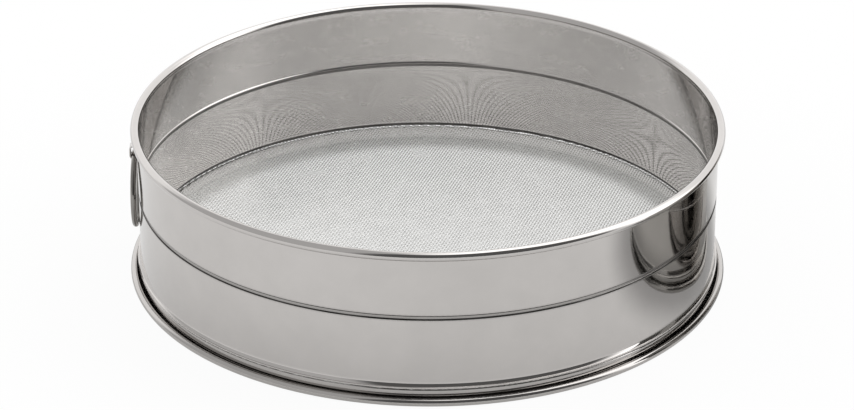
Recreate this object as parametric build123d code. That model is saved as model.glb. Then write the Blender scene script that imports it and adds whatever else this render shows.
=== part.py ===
from build123d import *

import math
import os

# A round drum sieve, a tamis, in rolled and pressed stainless sheet: a straight hoop with a curled rim
# and a pressed groove, wire cloth stretched across its foot, a curled base ring that clamps the cloth,
# and a loose hanging ring in a strap loop under the rim.
# Millimetres, +Z up. The origin is on the sieve's axis, in the plane that the base ring stands on.
# The hanging ring is on the -X side, and drawn at rest: it hangs straight down beside the wall.

# ---- driving dimensions ----

sheet = 0.6  # steel sheet of the hoop and the base ring

hoop_radius = 146.0  # outside of the straight wall
rim_top = 80.9  # top of the curled rim above the table
rim_bead_radius = 2.25  # outside radius of the curl at the rim
rim_bead_offset = 1.3  # from the wall's middle out to the middle of the curl
rim_lead_radius = 3.0  # easy bend that leads the wall into the curl
rim_curl_end = 100.0  # degrees past level at which the curl's free edge stops

groove_height = 45.5  # middle of the stiffening groove
groove_depth = 0.6  # pressed inwards
groove_floor = 1.0  # flat bottom of the groove
groove_slope = 48.0  # degrees from the wall to the groove's flanks
groove_bend = 0.5

foot_flare = 0.9  # how far the foot spreads out under the wall
foot_flare_height = 2.6
foot_flange = 0.4  # flat edge that presses on the cloth
foot_bend = 0.5  # bend between the flared foot and its flat edge

base_height = 7.6  # table to the seat of the cloth
base_seat = 1.0  # flat seat under the foot
base_corner = 0.5  # bend from the seat down into the skirt
base_setback = 0.33  # from the foot's edge in to the outside of the skirt
base_bead_radius = 1.95  # outside radius of the curl under the skirt
base_rest = 0.8  # flat that the sieve stands on
base_curl_end = 30.0  # degrees past level at which the curl's free edge stops

wire = 0.4  # cloth wire
pitch = 1.5  # one wire to the next
warp_angle = -17.0  # degrees, the way the upper wires run
border_width = 2.2  # from the foot's edge in to where the clamp lets the cloth go
cloth_trim = 0.25  # from the foot's edge in to the trimmed edge of the cloth
web = 0.2  # closed web that joins the wires of a band
wires_in_band = 5  # wires drawn side by side in one band
wires_per_repeat = 17  # of every so many wires, one band is drawn and the rest are left open

ring_wire = 2.9  # wire of the hanging ring
ring_radius = 19.0  # to the middle of the wire
ring_wall_clearance = 0.3

strap_sheet = 0.7
strap_width = 6.0
loop_opening = 6.4  # inside height of the loop
loop_clearance = 0.25  # round the ring's wire, at its tightest
loop_below_rim = 21.5  # top of the rim down to the inside of the loop's lower side
loop_corner = 2.0
tab_length = 7.0
tab_bend = 0.8

# ---- what follows from them ----

wall_middle = hoop_radius - sheet / 2
rim_bead_height = rim_top - rim_bead_radius
cloth_border = sheet
cloth_middle = base_height + cloth_border / 2
foot_underside = base_height + cloth_border
flare_angle = 2 * math.degrees(math.atan2(foot_flare, foot_flare_height))
foot_edge = wall_middle + foot_flange + foot_bend * math.cos(math.radians(flare_angle)) + foot_flare
loop_bottom = rim_top - loop_below_rim

# In a section X points outwards from the axis and Y points up.
INWARDS = Vector(-1, 0)
OUTWARDS = Vector(1, 0)
UPWARDS = Vector(0, 1)


def straight(length):
    """One straight run of a folded sheet."""
    return ("straight", length, 0.0)


def bend(radius, turn):
    """One bend of a folded sheet, to its middle line: a turn over 0 goes left, in degrees."""
    return ("bend", radius, turn)


def turned(heading, turn):
    """A heading turned left by so many degrees."""
    return heading.rotate(Axis.Z, turn)


def leftwards(heading):
    """The direction square to a heading, on its left."""
    return turned(heading, 90)


def follow(start, heading, moves):
    """The stations along a folded sheet's middle line: each one's point and heading."""
    stations = [(Vector(*start), heading)]
    for kind, size, turn in moves:
        point, heading = stations[-1]
        if kind == "straight":
            stations.append((point + heading * size, heading))
        else:
            side = 1 if turn > 0 else -1
            centre = point + leftwards(heading) * (side * size)
            heading = turned(heading, turn)
            stations.append((centre - leftwards(heading) * (side * size), heading))
    return stations


def folded_sheet(start, heading, moves, thickness):
    """The section of a sheet folded along the moves, on the XZ plane: X is outwards, Z is up."""
    stations = follow(start, heading, moves)
    sides = {}
    for side in (1, -1):
        edges = []
        for (p0, h0), (p1, h1), (kind, size, turn) in zip(stations, stations[1:], moves):
            a = p0 + leftwards(h0) * (side * thickness / 2)
            b = p1 + leftwards(h1) * (side * thickness / 2)
            if kind == "straight":
                edges.append(Line(a, b))
            else:
                turning = 1 if turn > 0 else -1
                centre = p0 + leftwards(h0) * (turning * size)
                middle = leftwards(turned(h0, turn / 2))
                half = centre - middle * (turning * size - side * thickness / 2)
                edges.append(ThreePointArc(a, half, b))
        sides[side] = edges
    caps = [
        Line(sides[1][0] @ 0, sides[-1][0] @ 0),
        Line(sides[1][-1] @ 1, sides[-1][-1] @ 1),
    ]
    return Plane.XZ * make_face(sides[1] + sides[-1] + caps)


def rise_to(height, start, heading, moves):
    """The straight run that takes the end of the moves, which heads up, on to a height."""
    end = follow(start, heading, moves)[-1][0]
    return straight(height - end.Y)


def pressed_groove():
    """The moves that press a flat-bottomed groove to the left, and how much of the wall it takes."""
    slope = math.radians(groove_slope)
    flank = (groove_depth - 2 * groove_bend * (1 - math.cos(slope))) / math.sin(slope)
    width = groove_floor + 2 * (2 * groove_bend * math.sin(slope) + flank * math.cos(slope))
    down = [bend(groove_bend, groove_slope), straight(flank), bend(groove_bend, -groove_slope)]
    back = [bend(groove_bend, -groove_slope), straight(flank), bend(groove_bend, groove_slope)]
    return down + [straight(groove_floor)] + back, width


def make_hoop():
    """Wall, flared foot, groove and curled rim, rolled from one strip."""
    start = (foot_edge, foot_underside + sheet / 2)
    flare_radius = (foot_flare**2 + foot_flare_height**2) / (2 * foot_flare)
    moves = [
        straight(foot_flange),
        bend(foot_bend, flare_angle - 90),
        bend(flare_radius, -flare_angle),
    ]
    groove, width = pressed_groove()
    moves.append(rise_to(groove_height - width / 2, start, INWARDS, moves))
    moves += groove

    curl_radius = rim_bead_radius - sheet / 2
    shift = curl_radius - rim_bead_offset
    lean = math.degrees(math.acos(1 - shift / (curl_radius + rim_lead_radius)))
    lead_height = (curl_radius + rim_lead_radius) * math.sin(math.radians(lean))
    moves.append(rise_to(rim_bead_height - lead_height, start, INWARDS, moves))
    moves += [
        bend(rim_lead_radius, lean),
        bend(curl_radius, -(180 + lean)),
        bend(curl_radius, -rim_curl_end),
    ]
    return revolve(folded_sheet(start, INWARDS, moves, sheet), Axis.Z)


def make_base_ring():
    """Ring under the hoop: flat seat for the cloth, short skirt, and a curl outwards that it stands on."""
    skirt_middle = foot_edge - base_setback - sheet / 2
    curl_radius = base_bead_radius - sheet / 2
    moves = [
        straight(base_seat),
        bend(base_corner, -90),
        straight(base_height - sheet / 2 - base_corner - base_bead_radius),
        bend(curl_radius, 90),
        straight(base_rest),
        bend(curl_radius, 180 + base_curl_end),
    ]
    start = (skirt_middle - base_corner - base_seat, base_height - sheet / 2)
    return revolve(folded_sheet(start, OUTWARDS, moves, sheet), Axis.Z)


def wire_bands(radius, side):
    """One of the cloth's two layers: bands of wires along X, each wire a ridge on the band's web."""
    spacing = pitch * wires_per_repeat
    count = int(radius / spacing)
    ridge_places = [(index - (wires_in_band - 1) / 2) * pitch for index in range(wires_in_band)]
    edge = ridge_places[-1] + wire / 2
    outline = [(-edge, -side * web / 2)]
    for place in ridge_places:
        outline += [
            (place - wire / 2, side * web / 2),
            (place, side * wire),
            (place + wire / 2, side * web / 2),
        ]
    outline.append((edge, -side * web / 2))
    comb = make_face(Polyline(*outline, close=True))
    bands = []
    for index in range(-count, count + 1):
        bands.append(extrude(Plane.YZ * Pos(index * spacing, 0) * comb, radius, both=True))
    return Compound(children=bands) & Cylinder(radius, 4 * wire)


def make_cloth():
    """Wire cloth as one wall of crossing bands with square gaps: upper wires one way, lower ones across."""
    inner = foot_edge - border_width
    upper = Rot(0, 0, warp_angle) * wire_bands(inner, 1)
    lower = Rot(0, 0, warp_angle + 90) * wire_bands(inner, -1)
    border = Cylinder(foot_edge - cloth_trim, cloth_border) - Cylinder(inner, 2 * cloth_border)
    return Pos(0, 0, cloth_middle) * (upper + lower + border)


def ring_pivot():
    """Radius and height of the middle of the ring's wire where the loop holds it."""
    sag = ring_radius - math.sqrt(ring_radius**2 - (strap_width / 2) ** 2)
    radius = hoop_radius + ring_wall_clearance + ring_wire / 2
    height = loop_bottom + loop_clearance + sag + ring_wire / 2
    crown = radius + ring_wire / 2 + sag + loop_clearance
    return radius, height, crown


def make_bracket():
    """Strap with a squared loop for the ring and a tab above and below, spot-welded to the wall."""
    crown = ring_pivot()[2]
    half = strap_sheet / 2
    rise = crown + half - (hoop_radius + half)
    flank = rise - tab_bend - loop_corner
    loop = [
        straight(tab_length),
        bend(tab_bend, -90),
        straight(flank),
        bend(loop_corner, 90),
        straight(loop_opening + strap_sheet - 2 * loop_corner),
        bend(loop_corner, 90),
        straight(flank),
        bend(tab_bend, -90),
        straight(tab_length),
    ]
    start = (hoop_radius + half, loop_bottom - half - tab_bend - tab_length)
    section = folded_sheet(start, UPWARDS, loop, strap_sheet)
    strap = extrude(section, strap_width / 2, both=True)
    return Rot(0, 0, 180) * strap


def make_ring():
    """The hanging ring, bent from wire and welded shut, hanging in the loop."""
    radius, height, _ = ring_pivot()
    return Pos(-radius, 0, height - ring_radius) * Rot(0, 90, 0) * Torus(ring_radius, ring_wire / 2)


parts = {
    "hoop": make_hoop(),
    "base_ring": make_base_ring(),
    "wire_cloth": make_cloth(),
    "ring_bracket": make_bracket(),
    "hanging_ring": make_ring(),
}

os.makedirs("parts", exist_ok=True)
for name, shape in parts.items():
    export_step(shape, f"parts/{name}.step")
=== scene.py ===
import math

import bpy
import numpy as np
from mathutils import Matrix, Vector


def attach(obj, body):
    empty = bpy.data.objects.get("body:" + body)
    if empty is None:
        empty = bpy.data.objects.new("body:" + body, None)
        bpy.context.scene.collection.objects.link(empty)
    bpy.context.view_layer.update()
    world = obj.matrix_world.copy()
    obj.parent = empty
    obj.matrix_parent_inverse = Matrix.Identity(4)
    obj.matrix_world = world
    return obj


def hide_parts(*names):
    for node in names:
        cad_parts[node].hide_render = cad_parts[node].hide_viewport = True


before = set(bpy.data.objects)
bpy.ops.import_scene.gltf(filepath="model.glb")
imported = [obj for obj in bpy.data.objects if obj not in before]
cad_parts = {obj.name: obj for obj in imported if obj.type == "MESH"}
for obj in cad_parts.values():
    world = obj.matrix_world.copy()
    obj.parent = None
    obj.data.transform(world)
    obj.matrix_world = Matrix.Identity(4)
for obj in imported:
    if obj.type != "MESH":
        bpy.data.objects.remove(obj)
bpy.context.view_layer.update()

MM = 0.001
DEGREE = math.radians(1.0)

# ---- sizes of the sieve, in millimetres, as the solids have them ----

SHEET = 0.6
WALL_RADIUS = 146.0
RIM_TOP = 80.9
RIM_BEAD = 2.25
RIM_BEAD_OFFSET = 1.3
RIM_LEAD = 3.0
RIM_CURL_END = 100.0
GROOVE_HEIGHT = 45.5
GROOVE_DEPTH = 0.6
GROOVE_FLOOR = 1.0
GROOVE_SLOPE = 48.0
GROOVE_BEND = 0.5
FOOT_FLARE = 0.9
FOOT_FLARE_HEIGHT = 2.6
FOOT_FLANGE = 0.4
FOOT_BEND = 0.5
BASE_HEIGHT = 7.6
BASE_SEAT = 1.0
BASE_CORNER = 0.5
BASE_SETBACK = 0.33
BASE_BEAD = 1.95
BASE_REST = 0.8
BASE_CURL_END = 30.0

WIRE = 0.4
PITCH = 1.5
WARP_ANGLE = -17.0
WIRE_SIDES = 5
CLOTH_TRIM = 0.25

RING_WIRE = 2.9
RING_RADIUS = 19.0
RING_WALL_GAP = 0.3
STRAP_SHEET = 0.7
STRAP_WIDTH = 6.0
STRAP_EDGE = 0.2
LOOP_OPENING = 6.4
LOOP_CLEARANCE = 0.25
LOOP_BELOW_RIM = 21.5
LOOP_CORNER = 2.0
TAB_LENGTH = 7.0
TAB_BEND = 0.8

RING_WELD_PLACE = 0.07
RING_WELD_SWELL = 0.03
RING_WELD_WIDTH = 0.9

LATHE_STEPS = 320
NEIGHBOUR_STEPS = 128
SHARP_ANGLE = 35.0

# ---- polish: its fine lines, and the shade painted into its folds ----

LINES_PER_RADIAN = 3.0
LINES_PER_METRE = 2600.0

# Least and greatest radius, from the outside of the wall, least and greatest height, and how much
# painted shade.
FOLD_SHADE_ZONES = (
    (-0.53, -0.04, GROOVE_HEIGHT - 2.0, GROOVE_HEIGHT + 2.0, 1.0),  # flanks of the groove, outside
    (-0.7, -0.5, GROOVE_HEIGHT - 0.9, GROOVE_HEIGHT + 0.9, 0.4),  # its floor
    (-1.4, -0.67, GROOVE_HEIGHT - 2.0, GROOVE_HEIGHT + 0.5, 0.75),  # its ridge, inside
    (-1.0, -0.07, BASE_HEIGHT + 0.4, BASE_HEIGHT + 2.8, 0.9),  # flared foot, inside
    (-0.1, 0.75, BASE_HEIGHT + 0.4, BASE_HEIGHT + 1.25, 0.9),  # flat edge of the foot
    (1.0, 2.5, 0.4, 2.6, 0.95),  # hollow of the base ring's curl
)
FOLD_SHADE_EASE = 0.06
# Painted shade: the folds are coloured near black, and made duller, where shade falls.
FOLD_SHADE_COLOUR = (0.04, 0.038, 0.035, 1.0)
FOLD_SHADE_DULLNESS = 0.5

# ---- camera ----

CAMERA_ELEVATION = 26.5
CAMERA_DISTANCE = 1880.0
CAMERA_AIM = (-0.3, 0.0, 32.5)
CAMERA_ROLL = 0.23
CAMERA_LENS = 156.0
SENSOR = 36.0
CLIP_START = 50.0
CLIP_END = 50000.0

# ---- studio: levels where 1 is a white card, and what part of each direction they fill ----

KEY_LEVEL = 2.05
LEFT_LEVEL = 0.58
KEY_EDGE = 0.12
BACK_LEVEL = 1.2
BACK_DEPTH = (0.3, 0.55)
BACK_TOP = (0.75, 0.55)
ROOM_LEVEL = 0.12
ROOM_LEFT = (-32.0, -18.0)
ROOM_RIGHT = (85.0, 65.0)
ROOM_TOP = (0.985, 0.95)

# ---- floor: how white it is, and from which to which radius or place that changes ----

WHITE = (1.0, 1.0, 1.0, 1.0)
BLACK = (0.0, 0.0, 0.0, 1.0)
FLOOR_COLOUR = (0.86, 0.86, 0.855, 1.0)
FLOOR_REACH = 4000.0
FLOOR_DROP = 0.1
SEEN_WHITE_NEAR = 0.95
SEEN_WHITE_EDGE = (130.0, 340.0)
FOOT_SHADOW_EDGE = (131.0, 142.5)
FOOT_SHADOW_END = 148.5
# Painted light: to mirrored rays the floor glows white, fully under the cloth and more on the left.
MIRRORED_WHITE = 0.39
MIRRORED_WHITE_LEFT = 0.62
MIRRORED_LEFT_EDGE = (-220.0, 50.0)
MIRRORED_WHITE_UNDER_CLOTH = 1.0
UNDER_CLOTH_EDGE = (138.0, 148.0)

# ---- the drum that stood beside the sieve, seen in its polished wall only ----

NEIGHBOUR_PLACE = (244.0, -34.0, 0.0)
NEIGHBOUR_RADIUS = 80.0
NEIGHBOUR_SHADOW = 0.5
NEIGHBOUR_SHADOW_EDGE = (84.0, 130.0)


# ---- node helpers ----

def new_material(name):
    """An empty node material and its Principled shader."""
    material = bpy.data.materials.new(name)
    material.use_nodes = True
    return material, material.node_tree, material.node_tree.nodes["Principled BSDF"]


def feed(tree, socket, value):
    """Links a socket to another node's output, or sets it to a number or colour."""
    if isinstance(value, bpy.types.NodeSocket):
        tree.links.new(value, socket)
    else:
        socket.default_value = value


def add(tree, kind, **values):
    """A node of that kind with its settings and inputs set."""
    node = tree.nodes.new(kind)
    for key, value in values.items():
        if hasattr(node, key):
            setattr(node, key, value)
        else:
            feed(tree, node.inputs[key.replace("_", " ")], value)
    return node


def math_node(tree, operation, *values):
    """One arithmetic node; the values are sockets or numbers."""
    node = add(tree, "ShaderNodeMath", operation=operation)
    for index, value in enumerate(values):
        feed(tree, node.inputs[index], value)
    return node.outputs[0]


def length_of(tree, vector):
    """The length of a vector socket."""
    return add(tree, "ShaderNodeVectorMath", operation="LENGTH", Vector=vector).outputs["Value"]


def noise(tree, place, scale, detail, roughness=0.5):
    """The grey of a noise texture."""
    node = add(tree, "ShaderNodeTexNoise", Vector=place, Scale=scale, Detail=detail, Roughness=roughness)
    return node.outputs["Fac"]


def bump(tree, height, strength, distance):
    """A bump node over a grey height."""
    return add(tree, "ShaderNodeBump", Height=height, Strength=strength, Distance=distance)


def eased(tree, value, low, high, before, after):
    """before where the value is under low, after where it is over high, and eased between them."""
    node = add(tree, "ShaderNodeMapRange", interpolation_type="SMOOTHSTEP")
    for name, setting in (
        ("Value", value),
        ("From Min", low),
        ("From Max", high),
        ("To Min", before),
        ("To Max", after),
    ):
        feed(tree, node.inputs[name], setting)
    return node.outputs["Result"]


def smooth_step(tree, value, low, high):
    """0 below low, 1 above high, eased between; the other way round where low is over high."""
    if low < high:
        return eased(tree, value, low, high, 0.0, 1.0)
    return eased(tree, value, high, low, 1.0, 0.0)


def between(tree, value, low, high, ease):
    """1 where the value lies between low and high, eased to 0 outside them."""
    above = smooth_step(tree, value, low - ease, low + ease)
    below = smooth_step(tree, value, high + ease, high - ease)
    return math_node(tree, "MULTIPLY", above, below)


def blend(tree, kind, sockets, factor, first, second):
    """The first value where the factor is 0, the second where it is 1, by a Mix node of that kind."""
    node = add(tree, "ShaderNodeMix", data_type=kind)
    for index, value in zip(sockets, (factor, first, second)):
        feed(tree, node.inputs[index], value)
    return node


def blend_level(tree, value, level, factor):
    """value where the factor is 0, level where it is 1."""
    return blend(tree, "FLOAT", (0, 2, 3), factor, value, level).outputs[0]


def blend_colour(tree, first, second, factor):
    """The first colour where the factor is 0, the second where it is 1."""
    return blend(tree, "RGBA", (0, 6, 7), factor, first, second).outputs[2]


def blend_shader(tree, first, second, factor):
    """The first node's shader where the factor is 0, the second's where it is 1."""
    node = add(tree, "ShaderNodeMixShader")
    for index, value in enumerate((factor, first.outputs[0], second.outputs[0])):
        feed(tree, node.inputs[index], value)
    return node


def ramp(tree, factor, stops):
    """A colour ramp with (place, grey or colour) stops."""
    node = tree.nodes.new("ShaderNodeValToRGB")
    elements = node.color_ramp.elements
    while len(elements) > 1:
        elements.remove(elements[-1])
    for index, (place, value) in enumerate(stops):
        element = elements[0] if index == 0 else elements.new(place)
        element.position = place
        colour = value if isinstance(value, tuple) else (value, value, value)
        element.color = (*colour, 1.0)
    tree.links.new(factor, node.inputs["Fac"])
    return node.outputs["Color"]


# ---- mesh helpers ----

def make_mesh(name, shape, material, sharp=SHARP_ANGLE):
    """A mesh from points in millimetres and faces, smooth but for its sharp edges."""
    points, faces = shape
    faces = np.asarray(faces, dtype=np.int32)
    mesh = bpy.data.meshes.new(name)
    mesh.vertices.add(len(points))
    mesh.vertices.foreach_set("co", (np.asarray(points, dtype=np.float32) * MM).ravel())
    mesh.loops.add(faces.size)
    mesh.loops.foreach_set("vertex_index", faces.ravel())
    mesh.polygons.add(len(faces))
    mesh.polygons.foreach_set("loop_start", np.arange(0, faces.size, faces.shape[1], dtype=np.int32))
    mesh.update(calc_edges=True)
    mesh.polygons.foreach_set("use_smooth", np.ones(len(faces), dtype=bool))
    mesh.set_sharp_from_angle(angle=math.radians(sharp))
    mesh.materials.append(material)
    mesh.validate()
    return mesh


def place_object(name, data):
    """An object in the scene."""
    thing = bpy.data.objects.new(name, data)
    bpy.context.scene.collection.objects.link(thing)
    return thing


def mesh_piece(name, shape, material, body, node, sharp=SHARP_ANGLE):
    """A piece that stands for a node of the solids and rides on its body."""
    piece = place_object(name, make_mesh(name, shape, material, sharp))
    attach(piece, body)
    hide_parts(node)
    return piece


def loft(rings):
    """Points and quads of closed rings joined one to the next, the last to the first."""
    rings = np.asarray(rings)
    count, size = rings.shape[:2]
    i = np.arange(count)[:, None]
    j = np.arange(size)[None, :]
    a = i * size + j
    b = i * size + (j + 1) % size
    c = ((i + 1) % count) * size + (j + 1) % size
    d = ((i + 1) % count) * size + j
    faces = np.stack([a, b, c, d], axis=-1).reshape(-1, 4)
    return rings.reshape(-1, 3), faces


def lathe(section, steps=LATHE_STEPS):
    """A closed section of (radius, height) points turned about the sieve's axis."""
    section = np.asarray(section)
    radius, height = section[:, 0], section[:, 1]
    rings = []
    for index in range(steps):
        angle = 2 * math.pi * index / steps
        rings.append(np.stack([radius * math.cos(angle), radius * math.sin(angle), height], axis=-1))
    return loft(rings)


# ---- folded sheet sections ----

def left_of(heading):
    """The direction square to a heading in degrees, on its left."""
    angle = math.radians(heading + 90)
    return np.array([math.cos(angle), math.sin(angle)])


def follow(start, heading, moves):
    """Stations of a folded sheet's middle line."""
    stations = [(np.array(start, dtype=float), heading)]
    for size, turn in moves:
        point, heading = stations[-1]
        if turn == 0:
            stations.append((point + left_of(heading - 90) * size, heading))
        else:
            side = 1 if turn > 0 else -1
            centre = point + left_of(heading) * side * size
            stations.append((centre - left_of(heading + turn) * side * size, heading + turn))
    return stations


def trace(start, heading, moves, arc_step=9.0, edge=0.12):
    """Points and headings along a folded sheet's middle line, with some close to each bend's ends."""
    samples = []
    for (point, angle), (size, turn) in zip(follow(start, heading, moves), moves):
        if turn == 0:
            along = left_of(angle - 90)
            for place in (0.0, edge, size - edge) if size > 3 * edge else (0.0,):
                samples.append((point + along * place, angle))
        else:
            side = 1 if turn > 0 else -1
            centre = point + left_of(angle) * side * size
            steps = max(3, int(abs(turn) / arc_step))
            for k in range(steps):
                now = angle + turn * k / steps
                samples.append((centre - left_of(now) * side * size, now))
    samples.append(follow(start, heading, moves)[-1])
    return samples


def sheet_section(start, heading, moves, thickness):
    """The closed outline of a folded sheet: one side forwards, the other side back."""
    samples = trace(start, heading, moves)
    right = [point - left_of(angle) * thickness / 2 for point, angle in samples]
    left = [point + left_of(angle) * thickness / 2 for point, angle in samples]
    return right + left[::-1]


def pressed_groove():
    """The moves that press a flat-bottomed groove to the left, and how much of the wall it takes."""
    slope = math.radians(GROOVE_SLOPE)
    flank = (GROOVE_DEPTH - 2 * GROOVE_BEND * (1 - math.cos(slope))) / math.sin(slope)
    width = GROOVE_FLOOR + 2 * (2 * GROOVE_BEND * math.sin(slope) + flank * math.cos(slope))
    down = [(GROOVE_BEND, GROOVE_SLOPE), (flank, 0), (GROOVE_BEND, -GROOVE_SLOPE)]
    back = [(GROOVE_BEND, -GROOVE_SLOPE), (flank, 0), (GROOVE_BEND, GROOVE_SLOPE)]
    return down + [(GROOVE_FLOOR, 0)] + back, width


INWARDS = 180.0
OUTWARDS = 0.0
UPWARDS = 90.0
wall_middle = WALL_RADIUS - SHEET / 2
flare_angle = 2 * math.degrees(math.atan2(FOOT_FLARE, FOOT_FLARE_HEIGHT))
foot_edge = wall_middle + FOOT_FLANGE + FOOT_BEND * math.cos(math.radians(flare_angle)) + FOOT_FLARE
skirt_middle = foot_edge - BASE_SETBACK - SHEET / 2


def hoop_section():
    """Foot, wall, groove and curled rim, from the foot's edge up."""
    flare_radius = (FOOT_FLARE**2 + FOOT_FLARE_HEIGHT**2) / (2 * FOOT_FLARE)
    moves = [(FOOT_FLANGE, 0), (FOOT_BEND, flare_angle - 90), (flare_radius, -flare_angle)]
    start = (foot_edge, BASE_HEIGHT + SHEET * 1.5)
    groove, width = pressed_groove()
    moves.append((GROOVE_HEIGHT - width / 2 - follow(start, INWARDS, moves)[-1][0][1], 0))
    moves += groove
    curl = RIM_BEAD - SHEET / 2
    lean = math.degrees(math.acos(1 - (curl - RIM_BEAD_OFFSET) / (curl + RIM_LEAD)))
    lead = (curl + RIM_LEAD) * math.sin(math.radians(lean))
    moves.append((RIM_TOP - RIM_BEAD - lead - follow(start, INWARDS, moves)[-1][0][1], 0))
    moves += [(RIM_LEAD, lean), (curl, -(180 + lean)), (curl, -RIM_CURL_END)]
    return sheet_section(start, INWARDS, moves, SHEET)


def base_section():
    """Seat, skirt, rest and outward curl of the base ring."""
    curl = BASE_BEAD - SHEET / 2
    moves = [
        (BASE_SEAT, 0),
        (BASE_CORNER, -90),
        (BASE_HEIGHT - SHEET / 2 - BASE_CORNER - BASE_BEAD, 0),
        (curl, 90),
        (BASE_REST, 0),
        (curl, 180 + BASE_CURL_END),
    ]
    start = (skirt_middle - BASE_CORNER - BASE_SEAT, BASE_HEIGHT - SHEET / 2)
    return sheet_section(start, OUTWARDS, moves, SHEET)


# ---- bracket and ring ----

def ring_place():
    """Radius and height of the ring's wire in the loop, and the radius of the loop's crown."""
    sag = RING_RADIUS - math.sqrt(RING_RADIUS**2 - (STRAP_WIDTH / 2) ** 2)
    radius = WALL_RADIUS + RING_WALL_GAP + RING_WIRE / 2
    height = RIM_TOP - LOOP_BELOW_RIM + LOOP_CLEARANCE + sag + RING_WIRE / 2
    return radius, height, radius + RING_WIRE / 2 + sag + LOOP_CLEARANCE


def strap_moves():
    """Where the strap starts, and its folds: tab, loop and tab."""
    half = STRAP_SHEET / 2
    flank = ring_place()[2] - WALL_RADIUS - TAB_BEND - LOOP_CORNER
    moves = [(TAB_LENGTH, 0), (TAB_BEND, -90), (flank, 0), (LOOP_CORNER, 90)]
    moves += [(LOOP_OPENING + STRAP_SHEET - 2 * LOOP_CORNER, 0)] + moves[::-1]
    start = (WALL_RADIUS + half, RIM_TOP - LOOP_BELOW_RIM - half - TAB_BEND - TAB_LENGTH)
    return start, moves


def strap_ring(point, angle, corner_steps=4):
    """The strap's cross-section, with its edges rounded, at one station of its middle line."""
    deep = STRAP_SHEET / 2 - STRAP_EDGE
    wide = STRAP_WIDTH / 2 - STRAP_EDGE
    ring = []
    for corner, (u, v) in enumerate(((deep, wide), (-deep, wide), (-deep, -wide), (deep, -wide))):
        for k in range(corner_steps):
            turn = math.radians(90 * corner + 90 * k / (corner_steps - 1))
            place = point + left_of(angle) * (u + STRAP_EDGE * math.cos(turn))
            ring.append((-place[0], v + STRAP_EDGE * math.sin(turn), place[1]))
    return ring


def strap_mesh():
    """The strap's cross-section carried along its folds, and closed at both ends."""
    start, moves = strap_moves()
    rings = [strap_ring(point, angle) for point, angle in trace(start, UPWARDS, moves)]
    count, size = len(rings), len(rings[0])
    faces = []
    for i in range(count - 1):
        for j in range(size):
            k = (j + 1) % size
            faces.append((i * size + j, (i + 1) * size + j, (i + 1) * size + k, i * size + k))
    last = (count - 1) * size
    for j in range(1, size // 2):
        row = (j - 1, j, size - 1 - j, size - j)
        faces += [row, tuple(last + corner for corner in row[::-1])]
    return np.asarray(rings).reshape(-1, 3), faces


def ring_mesh(steps=144, sides=24):
    """The hanging ring, with the slight swell of its butt weld near the loop."""
    radius, height, _ = ring_place()
    rings = []
    for k in range(steps):
        turn = 2 * math.pi * k / steps
        apart = abs(k - steps * RING_WELD_PLACE)
        from_weld = min(apart, steps - apart) * 2 * math.pi / steps * RING_RADIUS
        swell = RING_WELD_SWELL * math.exp(-((from_weld / RING_WELD_WIDTH) ** 2))
        wire = RING_WIRE / 2 * (1 + swell)
        ring = []
        for j in range(sides):
            side = 2 * math.pi * j / sides
            reach = RING_RADIUS + wire * math.cos(side)
            across = reach * math.sin(turn)
            up = height - RING_RADIUS + reach * math.cos(turn)
            ring.append((-radius + wire * math.sin(side), across, up))
        rings.append(ring)
    return loft(rings)


# ---- woven cloth ----

def woven_wire(lane, direction, radius):
    """The rings of one wire, bent over and under the wires that cross it."""
    turn = math.radians(WARP_ANGLE + 90 * direction)
    across = np.array([-math.sin(turn), math.cos(turn)])
    along = np.array([math.cos(turn), math.sin(turn)])
    offset = lane * PITCH
    length = math.sqrt(max(radius**2 - offset**2, 0.0))
    last = int(length / PITCH)
    crossings = np.arange(-last, last + 1)
    places = np.concatenate([[-length], crossings * PITCH, [length]])
    over = np.where((crossings + lane) % 2 == direction, 1.0, -1.0)
    heights = BASE_HEIGHT + SHEET / 2 + np.concatenate([[0.0], over * WIRE / 2, [0.0]])
    corner = 2 * math.pi * np.arange(WIRE_SIDES) / WIRE_SIDES + math.pi / 2
    sideways = offset + WIRE / 2 * np.cos(corner)
    xy = places[:, None, None] * along + sideways[None, :, None] * across
    z = heights[:, None] + WIRE / 2 * np.sin(corner)[None, :]
    return np.concatenate([xy, z[:, :, None]], axis=-1)


def woven(direction, half):
    """The wires of one way, 0 for warp and 1 for weft, over one half of the cloth."""
    radius = foot_edge - CLOTH_TRIM
    reach = int(radius / PITCH)
    points, faces = [], []
    total = 0
    for lane in range(0, reach + 1) if half == 0 else range(-reach, 0):
        rings = woven_wire(lane, direction, radius)
        i = np.arange(len(rings) - 1)[:, None]
        j = np.arange(WIRE_SIDES)[None, :]
        a = total + i * WIRE_SIDES + j
        b = total + i * WIRE_SIDES + (j + 1) % WIRE_SIDES
        faces.append(np.stack([a, a + WIRE_SIDES, b + WIRE_SIDES, b], axis=-1).reshape(-1, 4))
        points.append(rings.reshape(-1, 3))
        total += rings.shape[0] * WIRE_SIDES
    return np.concatenate(points), np.concatenate(faces)


# ---- materials ----

def round_the_wall(tree, place):
    """A place as its angle round the sieve, its radius and its height."""
    split = add(tree, "ShaderNodeSeparateXYZ", Vector=place)
    x, y, z = (split.outputs[axis] for axis in "XYZ")
    flat = add(tree, "ShaderNodeCombineXYZ", X=x, Y=y)
    return math_node(tree, "ARCTAN2", y, x), length_of(tree, flat.outputs[0]), z


def painted_fold_shade(tree, radius, height, patches):
    """How much shade is painted into the folds, a little patchy."""
    fold_shade = 0.0
    for inner, outer, low, high, amount in FOLD_SHADE_ZONES:
        inner, outer = WALL_RADIUS + inner, WALL_RADIUS + outer
        deep = between(tree, radius, inner * MM, outer * MM, FOLD_SHADE_EASE * MM)
        level = between(tree, height, low * MM, high * MM, FOLD_SHADE_EASE * MM)
        zone = math_node(tree, "MULTIPLY", math_node(tree, "MULTIPLY", deep, level), amount)
        fold_shade = math_node(tree, "MAXIMUM", fold_shade, zone)
    return math_node(tree, "MULTIPLY", fold_shade, ramp(tree, patches, [(0.3, 0.85), (0.6, 1.0)]))


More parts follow.
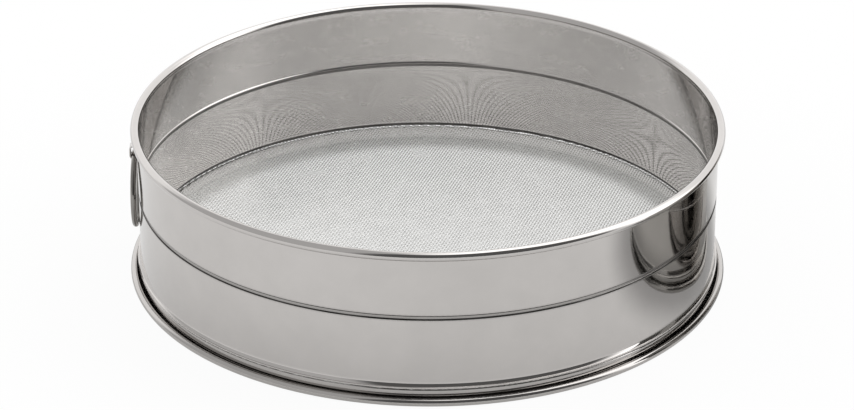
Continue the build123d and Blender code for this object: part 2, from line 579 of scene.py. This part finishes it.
def steel(name, colour, rough):
    """Polished stainless sheet: fine lines round the wall, soft waves, and shade painted into its folds.
    """
    material, tree, shader = new_material(name)
    shader.inputs["Metallic"].default_value = 1.0
    place = add(tree, "ShaderNodeTexCoord").outputs["Object"]
    angle, radius, height = round_the_wall(tree, place)
    stretched = add(
        tree,
        "ShaderNodeCombineXYZ",
        X=math_node(tree, "MULTIPLY", angle, LINES_PER_RADIAN),
        Y=math_node(tree, "MULTIPLY", height, LINES_PER_METRE),
    )
    lines = noise(tree, stretched.outputs[0], scale=1.0, detail=3.0, roughness=0.6)
    waves = noise(tree, place, scale=16.0, detail=1.0, roughness=0.4)
    mottle = noise(tree, place, scale=60.0, detail=4.0, roughness=0.55)

    # Painted shade in the folds: darker colour and duller gloss in the groove, foot and curl.
    fold_shade = painted_fold_shade(tree, radius, height, mottle)
    darker = tuple(channel * 0.95 for channel in colour)
    grey = ramp(tree, mottle, [(0.3, darker), (0.7, colour)])
    feed(tree, shader.inputs["Base Color"], blend_colour(tree, grey, FOLD_SHADE_COLOUR, fold_shade))
    gloss = math_node(tree, "MULTIPLY_ADD", lines, rough, rough / 2)
    dull = math_node(tree, "MULTIPLY_ADD", fold_shade, FOLD_SHADE_DULLNESS, gloss)
    feed(tree, shader.inputs["Roughness"], dull)
    fine = bump(tree, lines, strength=0.1, distance=0.00001)
    soft = bump(tree, waves, strength=0.3, distance=0.0004)
    feed(tree, soft.inputs["Normal"], fine.outputs["Normal"])
    feed(tree, shader.inputs["Normal"], soft.outputs["Normal"])
    return material


def wire_steel():
    """Bright drawn wire, with its drawing marks and a little tarnish from place to place."""
    material, tree, shader = new_material("drawn_wire")
    shader.inputs["Metallic"].default_value = 0.85
    place = add(tree, "ShaderNodeTexCoord").outputs["Object"]
    mottle = noise(tree, place, scale=90.0, detail=3.0, roughness=0.6)
    grey = ramp(tree, mottle, [(0.3, (0.80, 0.80, 0.78)), (0.7, (0.89, 0.89, 0.87))])
    feed(tree, shader.inputs["Base Color"], grey)
    feed(tree, shader.inputs["Roughness"], math_node(tree, "MULTIPLY_ADD", mottle, 0.15, 0.18))
    marks = noise(tree, place, scale=6000.0, detail=2.0)
    fine = bump(tree, marks, strength=0.2, distance=0.00002)
    feed(tree, shader.inputs["Normal"], fine.outputs["Normal"])
    return material


# ---- stage ----

def span(edge, scale=MM):
    """Both ends of an edge, scaled."""
    return edge[0] * scale, edge[1] * scale


def seen_white(tree, away):
    """How white the camera sees the floor: all white far out, shaded near the sieve and at its foot."""
    far = eased(tree, away, *span(SEEN_WHITE_EDGE), SEEN_WHITE_NEAR, 1.0)
    inside = eased(tree, away, *span(FOOT_SHADOW_EDGE), 1.0, 0.0)
    outside = math_node(tree, "GREATER_THAN", away, FOOT_SHADOW_END * MM)
    return math_node(tree, "MULTIPLY", far, math_node(tree, "MAXIMUM", inside, outside))


def mirrored_white(tree, place, away):
    """Painted light seen in mirrors only: how much the floor glows white to glossy rays, fully white
    under the cloth and paler on the left.
    """
    split = add(tree, "ShaderNodeSeparateXYZ", Vector=place)
    around = eased(
        tree, split.outputs["X"], *span(MIRRORED_LEFT_EDGE), MIRRORED_WHITE_LEFT, MIRRORED_WHITE
    )
    return eased(tree, away, *span(UNDER_CLOTH_EDGE), MIRRORED_WHITE_UNDER_CLOTH, around)


def neighbour_shadow(tree, place):
    """How dark the floor is round the neighbour."""
    middle = add(tree, "ShaderNodeVectorMath", operation="DISTANCE", Vector=place)
    middle.inputs[1].default_value = tuple(c * MM for c in NEIGHBOUR_PLACE)
    return eased(tree, middle.outputs["Value"], *span(NEIGHBOUR_SHADOW_EDGE), NEIGHBOUR_SHADOW, 0.0)


def floor_material():
    """A pale floor that is white to the camera but for the sieve's shadow, and greyer in its mirrors."""
    material = bpy.data.materials.new("pale_floor")
    material.use_nodes = True
    tree = material.node_tree
    tree.nodes.clear()
    path = add(tree, "ShaderNodeLightPath")
    place = add(tree, "ShaderNodeTexCoord").outputs["Object"]
    away = length_of(tree, place)
    seen = math_node(tree, "MULTIPLY", path.outputs["Is Camera Ray"], seen_white(tree, away))
    glossy = path.outputs["Is Glossy Ray"]
    # Painted light for mirrored rays: the floor glows white by place.
    mirrored = math_node(tree, "MULTIPLY", glossy, mirrored_white(tree, place, away))
    shaded = math_node(tree, "MULTIPLY", glossy, neighbour_shadow(tree, place))

    card = add(tree, "ShaderNodeBsdfDiffuse", Color=FLOOR_COLOUR)
    white = add(tree, "ShaderNodeEmission", Color=WHITE, Strength=1.0)
    dark = add(tree, "ShaderNodeEmission", Color=BLACK, Strength=0.0)
    pale = blend_shader(tree, card, white, math_node(tree, "MAXIMUM", seen, mirrored))
    floor = blend_shader(tree, pale, dark, shaded)
    add(tree, "ShaderNodeOutputMaterial", Surface=floor.outputs[0])
    return material


def make_floor():
    """The floor, a hair under the sieve."""
    reach = FLOOR_REACH
    corners = [(-reach, -reach, 0), (reach, -reach, 0), (reach, reach, 0), (-reach, reach, 0)]
    floor = place_object("floor", make_mesh("floor", (corners, [(0, 1, 2, 3)]), floor_material()))
    floor.location.z = -FLOOR_DROP * MM


def studio_level(tree, direction):
    """The studio's level by direction: key light on the right, a pale back, a dark room in front."""
    split = add(tree, "ShaderNodeSeparateXYZ", Vector=direction)
    x, y, z = (split.outputs[axis] for axis in "XYZ")
    level = blend_level(tree, LEFT_LEVEL, KEY_LEVEL, smooth_step(tree, x, -KEY_EDGE, KEY_EDGE))
    behind = smooth_step(tree, y, *BACK_DEPTH)
    low_back = math_node(tree, "MULTIPLY", behind, smooth_step(tree, z, *BACK_TOP))
    level = blend_level(tree, level, BACK_LEVEL, low_back)
    azimuth = math_node(tree, "ARCTAN2", x, math_node(tree, "MULTIPLY", y, -1.0))
    past_left = smooth_step(tree, azimuth, *span(ROOM_LEFT, DEGREE))
    before_right = smooth_step(tree, azimuth, *span(ROOM_RIGHT, DEGREE))
    sector = math_node(tree, "MULTIPLY", past_left, before_right)
    dark = math_node(tree, "MULTIPLY", sector, smooth_step(tree, z, *ROOM_TOP))
    return blend_level(tree, level, ROOM_LEVEL, dark)


def make_world():
    """A studio of soft light, and a white background for the camera alone."""
    world = bpy.data.worlds.new("studio")
    bpy.context.scene.world = world
    world.use_nodes = True
    tree = world.node_tree
    tree.nodes.clear()
    level = studio_level(tree, add(tree, "ShaderNodeTexCoord").outputs["Generated"])
    room = add(tree, "ShaderNodeBackground", Color=level, Strength=1.0)
    white = add(tree, "ShaderNodeBackground", Color=WHITE, Strength=1.0)
    path = add(tree, "ShaderNodeLightPath")
    both = blend_shader(tree, room, white, path.outputs["Is Camera Ray"])
    add(tree, "ShaderNodeOutputWorld", Surface=both.outputs[0])


def make_neighbour():
    """A smaller drum standing close on the right, which only the polished walls see."""
    material = steel("neighbour_steel", (0.5, 0.49, 0.47), 0.08)
    for name, section in (("neighbour_hoop", hoop_section()), ("neighbour_base", base_section())):
        narrower = np.asarray(section) - (WALL_RADIUS - NEIGHBOUR_RADIUS, 0.0)
        drum = place_object(name, make_mesh(name, lathe(narrower, NEIGHBOUR_STEPS), material))
        drum.location = Vector(NEIGHBOUR_PLACE) * MM
        for ray in ("camera", "diffuse", "transmission", "shadow", "volume_scatter"):
            setattr(drum, f"visible_{ray}", False)


def make_camera():
    """The photograph's camera: it looks down on the sieve from the front."""
    data = bpy.data.cameras.new("camera")
    data.sensor_width = SENSOR
    data.lens = CAMERA_LENS
    data.clip_start = CLIP_START * MM
    data.clip_end = CLIP_END * MM
    camera = place_object("camera", data)
    tilt = math.radians(CAMERA_ELEVATION)
    aim = Vector(CAMERA_AIM) * MM
    back = Vector((0, -math.cos(tilt), math.sin(tilt)))
    camera.location = aim + back * CAMERA_DISTANCE * MM
    roll = Matrix.Rotation(math.radians(CAMERA_ROLL), 3, "Z")
    turn = (-back).to_track_quat("-Z", "Y").to_matrix() @ roll
    camera.rotation_euler = turn.to_euler()
    bpy.context.scene.camera = camera


# ---- the scene ----

make_camera()
make_floor()
make_world()

sheet_steel = steel("polished_sheet", (0.605, 0.582, 0.565), 0.06)
ring_steel = steel("ring_wire", (0.29, 0.28, 0.265), 0.12)
base_steel = steel("base_sheet", (0.525, 0.505, 0.49), 0.10)
cloth_steel = wire_steel()
make_neighbour()

mesh_piece("hoop_sheet", lathe(hoop_section()), sheet_steel, "frame", "hoop")
mesh_piece("base_curl", lathe(base_section()), base_steel, "frame", "base_ring")
mesh_piece("ring_strap", strap_mesh(), sheet_steel, "frame", "ring_bracket")
mesh_piece("ring_wire", ring_mesh(), ring_steel, "ring", "hanging_ring")
for direction, way in enumerate(("warp", "weft")):
    for half in (0, 1):
        name = f"cloth_{way}_{half}"
        mesh_piece(name, woven(direction, half), cloth_steel, "frame", "wire_cloth", 180.0)

bpy.context.scene.view_settings.view_transform = "Standard"
